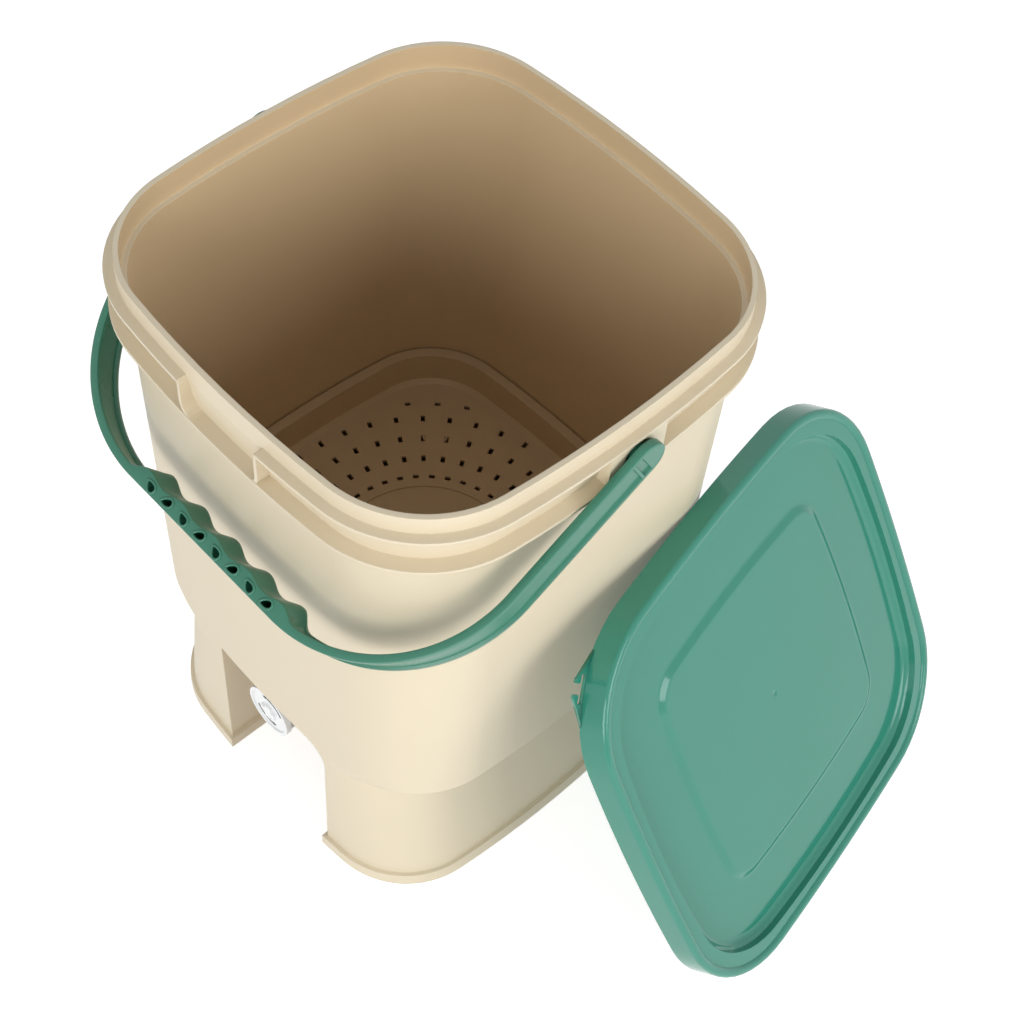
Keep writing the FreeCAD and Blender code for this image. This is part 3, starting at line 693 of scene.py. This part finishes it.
def pin_rings(side):
    """Sections of one pivot pin, from its chamfered tip to inside the arm."""
    sections = ((PIN_END, PIN_RADIUS - PIN_CHAMFER), (PIN_END + PIN_CHAMFER, PIN_RADIUS),
                (BAIL_HIGH.x - STRAP + PIN_HOLD, PIN_RADIUS))
    return [[bail_point(side * x, radius * math.cos(a), radius * math.sin(a))
             for a in full_turn(PIN_SIDES)]
            for x, radius in sections]


class WORMERY_OT_handle(bpy.types.Operator):
    """Makes the bail with its grooved strap, waved grip, holes and pivot pins"""

    bl_idname = "wormery.handle"
    bl_label = "Handle"

    def execute(self, context):
        colours = context.scene.wormery_colours
        sizes = context.scene.wormery_sizes
        green = moulded_plastic("handle_plastic", colours.handle, roughness=0.28, grain=0.03)
        verts, faces = skin(arm_rings(1) + bend_rings() + arm_rings(-1)[::-1])
        bail = mesh_piece("bail_strap", verts, faces, green, sharp=BAIL_SHARP)
        cut_piece(bail, hole_cutters(green))
        bail.data.set_sharp_from_angle(angle=math.radians(BAIL_SHARP))
        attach(bail, "handle")
        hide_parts("bail_handle")
        beads = hole_beads(green, sizes.hole_lip)
        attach(beads, "handle")
        for name, side in (("right_pin", 1), ("left_pin", -1)):
            verts, faces = skin(pin_rings(side))
            pin = mesh_piece(name, verts, faces, green)
            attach(pin, "handle")
        return {"FINISHED"}


def corner_reach(half, corner, arc):
    """Distance from the middle of a square outline to the crest of its rounded corner."""
    side = (arc - half) * math.sqrt(0.5)
    return math.sqrt((arc - corner) ** 2 - side ** 2) - side + corner


def skirt_ring(z, inset):
    """Outline of the lid's skirt at a level, drawn in from its foot."""
    return ring(LID_HALF - inset, LID_CORNER - inset, z, LID_ARC)


def plug_ring(z, inset):
    """Outline at a level of the lid's plug and recess."""
    return ring(PLUG_HALF - inset, PLUG_CORNER - inset, z, PLUG_ARC)


def step_ring(z, out):
    """Outline at a level of the raised middle of the panel."""
    return ring(STEP_HALF + out, STEP_CORNER + out, z, STEP_ARC)


def panel_rings(top, like):
    """Rings of the panel: the dimple in its middle, then the step down from its raised part."""
    low = -PANEL_DEPTH
    discs = [(DIMPLE * DIMPLE_FLOOR, top - DIMPLE_DEPTH), (DIMPLE, top)]
    discs += [(DIMPLE * wide, top) for wide in DIMPLE_STRIPS]
    steps = [(top, -far) for far in INNER_STRIPS]
    steps += [(top, -SOFT_RUN), (top - SOFT_RISE, SOFT_RUN),
              (low + SOFT_RISE, STEP_SLOPE - SOFT_RUN), (low, STEP_SLOPE + SOFT_RUN)]
    steps += [(low, STEP_SLOPE + far) for far in OUTER_STRIPS]
    rings = [disc_ring(radius, z, like) for radius, z in discs]
    return rings + [step_ring(z, out) for z, out in steps]


def recess_rings():
    """Rings of the sloping recess wall: its flat and rounded foot, then the bead's inner side."""
    low = -PANEL_DEPTH
    foot = LID_WALL + RECESS_SLOPE - FILLET / 2
    walls = [(low, foot + FILLET + far) for far in FOOT_STRIPS]
    walls += [(low + FILLET * (1 - math.cos(a)), foot + FILLET * (1 - math.sin(a)))
              for a in arc_angles(*FILLET_TURN)]
    rings = [plug_ring(z, inset) for z, inset in walls]
    beads = [(-BEAD * (1 - math.sin(a)), CREST + BEAD * math.cos(a))
             for a in arc_angles(*BEAD_INNER_TURN)]
    return rings + [skirt_ring(z, inset) for z, inset in beads]


def skirt_rings():
    """Rings from the crest over the bead, down the skirt, round its foot and up its inside."""
    low = -LID_DEPTH
    levels = [(-BEAD * (1 - math.cos(a)), LID_DRAFT + BEAD - BEAD * math.sin(a))
              for a in arc_angles(*BEAD_OUTER_TURN)]
    levels += [(low + FOOT_ROUND, HAIR), (low, FOOT_ROUND), (low, LID_WALL - SOFT_RUN),
               (low + SOFT_RUN, LID_WALL), (-LID_WALL, LID_DRAFT + LID_WALL)]
    return [skirt_ring(z, inset) for z, inset in levels]


def under_rings(top, like):
    """Rings of the plug and of the underside of the panel, in to its middle."""
    low = -PANEL_DEPTH - LID_WALL
    inner = LID_WALL + PLUG_DRAFT
    plugs = [(-LID_WALL, 0.0), (-PLUG_DEPTH, PLUG_DRAFT), (-PLUG_DEPTH, inner), (low, inner)]
    rings = [plug_ring(z, inset) for z, inset in plugs]
    rings += [step_ring(low, STEP_SLOPE), step_ring(top - LID_WALL, 0)]
    return rings + [disc_ring(DIMPLE * wide, top - LID_WALL, like) for wide in (1, DIMPLE_FLOOR)]


def lid_rings():
    """Sections of the lid, from the middle of its panel over the rim and back underneath."""
    top = STEP_RISE - PANEL_DEPTH
    like = step_ring(0, 0)
    return panel_rings(top, like) + recess_rings() + skirt_rings() + under_rings(top, like)


def lid_turn():
    """Turns the level lid until it leans as it does in the frame."""
    flat = math.cos(LID_LEAN)
    normal = Vector((flat * math.cos(LID_TURN), flat * math.sin(LID_TURN), math.sin(LID_LEAN)))
    across = Vector((-math.sin(LID_TURN), math.cos(LID_TURN), 0))
    return Matrix((across, normal.cross(across), normal)).transposed()


def lid_place(turn, rings):
    """Where the middle of the lid's rim is, from the edges of its node's box."""
    foot = [turn @ p for p in skirt_ring(-LID_DEPTH, 0.0)]
    x = LID_HIGH.x - max((turn @ p).x for one in rings for p in one)
    y = LID_LOW.y - min(p.y for p in foot)
    z = LID_LOW.z - min(p.z for p in foot)
    return Vector((x, y, z))


def tab_outline():
    """Outline of the pull tab with its T-shaped slot, out along X."""
    crest = corner_reach(LID_HALF, LID_CORNER, LID_ARC)
    tip = crest + TAB_REACH
    neck = tip - SLOT_DEPTH
    side = [(crest - TAB_ROOT, TAB_HALF), (tip, TAB_TIP), (tip, SLOT_STEM / 2),
            (neck, SLOT_STEM / 2), (neck, SLOT_BAR / 2), (tip - 2 * SLOT_DEPTH, SLOT_BAR / 2)]
    return side + [(x, -y) for x, y in reversed(side)]


def tab_rings():
    """The tab's outline at its foot and at its top, turned towards its corner of the lid."""
    spin = Matrix.Rotation(TAB_SPIN, 3, "Z")
    levels = (-LID_DEPTH + HAIR, -LID_DEPTH + LID_WALL)
    return [[spin @ Vector((x, y, z)) for x, y in tab_outline()] for z in levels]


class WORMERY_OT_lid(bpy.types.Operator):
    """Makes the lid and its pull tab in a glossy, slightly translucent plastic"""

    bl_idname = "wormery.lid"
    bl_label = "Lid"

    def execute(self, context):
        colours = context.scene.wormery_colours
        green = moulded_plastic("lid_plastic", colours.lid, roughness=0.12, grain=0.004,
                                glow=0.12)
        rings = lid_rings()
        turn = lid_turn()
        place = lid_place(turn, rings)

        def lean(name, sections, sharp=SHARP):
            verts, faces = skin(sections)
            return mesh_piece(name, [turn @ v + place for v in verts], faces, green, sharp)

        lid = lean("lid_shell", rings)
        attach(lid, "cover")
        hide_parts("lid")
        tab = lean("lid_tab", tab_rings(), TAB_SHARP)
        room = [skirt_ring(z, LID_WALL / 2) for z in (-2 * LID_DEPTH, 0.0)]
        cut_piece(tab, lean("lid_room", room))
        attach(tab, "cover")
        return {"FINISHED"}


def arrow_outline(start, radius, width, sweep):
    """Outline of one flat arrow bent round the middle of the knob."""
    turn = sweep * ARROW_BAND
    barb = width * ARROW_BARB
    outer = [(radius + width / 2, start + turn * i / ARROW_PARTS) for i in range(ARROW_PARTS + 1)]
    head = [(radius + barb, start + turn), (radius, start + sweep), (radius - barb, start + turn)]
    inner = [(radius - width / 2, a) for r, a in reversed(outer)]
    return [(r * math.cos(a), r * math.sin(a)) for r, a in outer + head + inner]


class WORMERY_OT_tap(bpy.types.Operator):
    """Gives the tap its white plastic and prints the turning arrows on its knob"""

    bl_idname = "wormery.tap"
    bl_label = "Tap"

    def execute(self, context):
        colours = context.scene.wormery_colours
        sizes = context.scene.wormery_sizes
        white = moulded_plastic("tap_plastic", colours.tap, roughness=0.28, grain=0.02,
                                mottle=0.01, edge=TAP_EDGE)
        rubber = moulded_plastic("seal_rubber", colours.rubber, roughness=0.7, grain=0.15)
        ink = moulded_plastic("arrow_ink", colours.mark, roughness=0.5, grain=0.02)
        for node in ("tap_body", "tap_knob", "tap_nut"):
            dress(node, white)
        for node in ("tap_gasket", "tap_inner_washer", "tap_o_ring"):
            dress(node, rubber)

        # The dish lies behind the front of the knob, which is its raised cross
        dish = KNOB_LOW.y + CROSS_RISE
        for i in range(sizes.arrow_count):
            start = ARROW_START + 2 * math.pi * i / sizes.arrow_count
            flat = arrow_outline(start, sizes.arrow_ring, sizes.arrow_width, sizes.arrow_sweep)
            rings = [[Vector((KNOB_MIDDLE.x + x, dish + y, KNOB_MIDDLE.z + z)) for x, z in flat]
                     for y in (0.0, -ARROW_THICK)]
            verts, faces = skin(rings)
            arrow = mesh_piece("knob_arrow_%d" % (i + 1), verts, faces, ink)
            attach(arrow, "knob")
        return {"FINISHED"}


def outward(azimuth, height):
    """Unit vector away from the object, at an azimuth from its front and a height, in radians."""
    flat = math.cos(height)
    return Vector((math.sin(azimuth) * flat, -math.cos(azimuth) * flat, math.sin(height)))


def add_camera():
    """The camera at the photograph's angle, tilted a little about its own axis."""
    back = outward(CAMERA_AZIMUTH, CAMERA_HEIGHT)
    right = Vector((math.cos(CAMERA_AZIMUTH), math.sin(CAMERA_AZIMUTH), 0.0))
    up = back.cross(right)
    across = right * math.cos(CAMERA_ROLL) + up * math.sin(CAMERA_ROLL)
    top = up * math.cos(CAMERA_ROLL) - right * math.sin(CAMERA_ROLL)
    data = bpy.data.cameras.new("camera")
    data.lens = CAMERA_LENS
    data.sensor_width = CAMERA_SENSOR
    camera = bpy.data.objects.new("camera", data)
    turn = Matrix((across, top, back)).transposed()
    place = Matrix.Translation(CAMERA_AIM + back * CAMERA_DISTANCE)
    camera.matrix_world = place @ turn.to_4x4()
    bpy.context.scene.collection.objects.link(camera)
    bpy.context.scene.camera = camera


def add_lamp(name, azimuth, height, power):
    """A square softbox that looks at the object from an azimuth and a height in degrees."""
    back = outward(math.radians(azimuth), math.radians(height))
    data = bpy.data.lights.new(name, "AREA")
    data.shape = "SQUARE"
    data.size = LAMP_SIZE
    data.energy = power
    lamp = bpy.data.objects.new(name, data)
    lamp.rotation_mode = "QUATERNION"
    lamp.rotation_quaternion = (-back).to_track_quat("-Z", "Y")
    lamp.location = LAMP_AIM + back * LAMP_DISTANCE
    bpy.context.scene.collection.objects.link(lamp)


def seen_rays(tree):
    """A socket that is 1 for what the camera, glossy and clear surfaces see, and otherwise 0."""
    path = tree.nodes.new("ShaderNodeLightPath")
    seen = path.outputs["Is Camera Ray"]
    for other in ("Is Glossy Ray", "Is Transmission Ray"):
        either = tree.nodes.new("ShaderNodeMath")
        either.operation = "MAXIMUM"
        tree.links.new(seen, either.inputs[0])
        tree.links.new(path.outputs[other], either.inputs[1])
        seen = either.outputs["Value"]
    return seen


def floor_material():
    """Pale matt floor that looks white to the camera and keeps the object's shadow."""
    material, tree, shader = new_material("pale_floor")
    shader.inputs["Base Color"].default_value = (FLOOR_GREY, FLOOR_GREY, FLOOR_GREY, 1)
    shader.inputs["Roughness"].default_value = 1.0
    shader.inputs["Specular IOR Level"].default_value = 0.0
    shader.inputs["Emission Color"].default_value = (1, 1, 1, 1)
    scaled = tree.nodes.new("ShaderNodeMath")
    scaled.operation = "MULTIPLY"
    scaled.inputs[1].default_value = FLOOR_LIFT
    tree.links.new(seen_rays(tree), scaled.inputs[0])
    tree.links.new(scaled.outputs["Value"], shader.inputs["Emission Strength"])
    return material


def add_floor():
    """A wide floor just under the object."""
    half = FLOOR_HALF
    mesh = bpy.data.meshes.new("floor")
    corners = [(-half, -half, 0), (half, -half, 0), (half, half, 0), (-half, half, 0)]
    mesh.from_pydata(corners, [], [(0, 1, 2, 3)])
    mesh.materials.append(floor_material())
    floor = bpy.data.objects.new("floor", mesh)
    bpy.context.scene.collection.objects.link(floor)
    floor.location.z = -FLOOR_DROP


def set_world():
    """Studio walls: bright at the sides, dimmer overhead, and plain white to the camera."""
    world = bpy.data.worlds.new("studio")
    bpy.context.scene.world = world
    world.use_nodes = True
    tree = world.node_tree
    nodes, links = tree.nodes, tree.links
    light = nodes["Background"]
    place = nodes.new("ShaderNodeTexCoord")
    split = nodes.new("ShaderNodeSeparateXYZ")
    links.new(place.outputs["Generated"], split.inputs["Vector"])
    ramp = nodes.new("ShaderNodeMapRange")
    ramp.inputs["From Min"].default_value = WALL_TOP
    ramp.inputs["From Max"].default_value = CEILING_START
    ramp.inputs["To Min"].default_value = WALL_LIGHT
    ramp.inputs["To Max"].default_value = CEILING_LIGHT
    links.new(split.outputs["Z"], ramp.inputs["Value"])
    links.new(ramp.outputs["Result"], light.inputs["Strength"])
    light.inputs["Color"].default_value = (1.0, 1.0, 1.0, 1)
    white = nodes.new("ShaderNodeBackground")
    white.inputs["Color"].default_value = (1.0, 1.0, 1.0, 1)
    white.inputs["Strength"].default_value = 1.0
    mix = nodes.new("ShaderNodeMixShader")
    links.new(seen_rays(tree), mix.inputs["Fac"])
    links.new(light.outputs["Background"], mix.inputs[1])
    links.new(white.outputs["Background"], mix.inputs[2])
    links.new(mix.outputs["Shader"], nodes["World Output"].inputs["Surface"])


class WORMERY_OT_stage(bpy.types.Operator):
    """Adds the floor, the studio light and the camera"""

    bl_idname = "wormery.stage"
    bl_label = "Stage"

    def execute(self, context):
        add_floor()
        for name, azimuth, height, power in LAMPS:
            add_lamp(name, azimuth, height, power)
        set_world()
        add_camera()
        context.scene.view_settings.view_transform = "Standard"
        return {"FINISHED"}


class WORMERY_PT_panel(bpy.types.Panel):
    """Lists the pieces of the wormery and their settings"""

    bl_idname = "WORMERY_PT_panel"
    bl_label = "Wormery"
    bl_space_type = "VIEW_3D"
    bl_region_type = "UI"
    bl_category = "Wormery"

    def draw(self, context):
        layout = self.layout
        for operator in OPERATORS:
            layout.operator(operator.bl_idname)
        for group in (context.scene.wormery_colours, context.scene.wormery_sizes):
            for name in group.__annotations__:
                layout.prop(group, name)


OPERATORS = (WORMERY_OT_bin, WORMERY_OT_strainer, WORMERY_OT_handle, WORMERY_OT_lid,
             WORMERY_OT_tap, WORMERY_OT_stage)
CLASSES = (WormeryColours, WormerySizes) + OPERATORS + (WORMERY_PT_panel,)


def register():
    """Registers the classes and hangs the settings on the scene."""
    for cls in CLASSES:
        bpy.utils.register_class(cls)
    bpy.types.Scene.wormery_colours = PointerProperty(type=WormeryColours)
    bpy.types.Scene.wormery_sizes = PointerProperty(type=WormerySizes)


def unregister():
    """Takes the settings and the classes away again."""
    del bpy.types.Scene.wormery_sizes
    del bpy.types.Scene.wormery_colours
    for cls in reversed(CLASSES):
        bpy.utils.unregister_class(cls)


def main():
    register()
    bpy.ops.wormery.bin()
    bpy.ops.wormery.strainer()
    bpy.ops.wormery.handle()
    bpy.ops.wormery.lid()
    bpy.ops.wormery.tap()
    bpy.ops.wormery.stage()


if __name__ == "__main__":
    main()
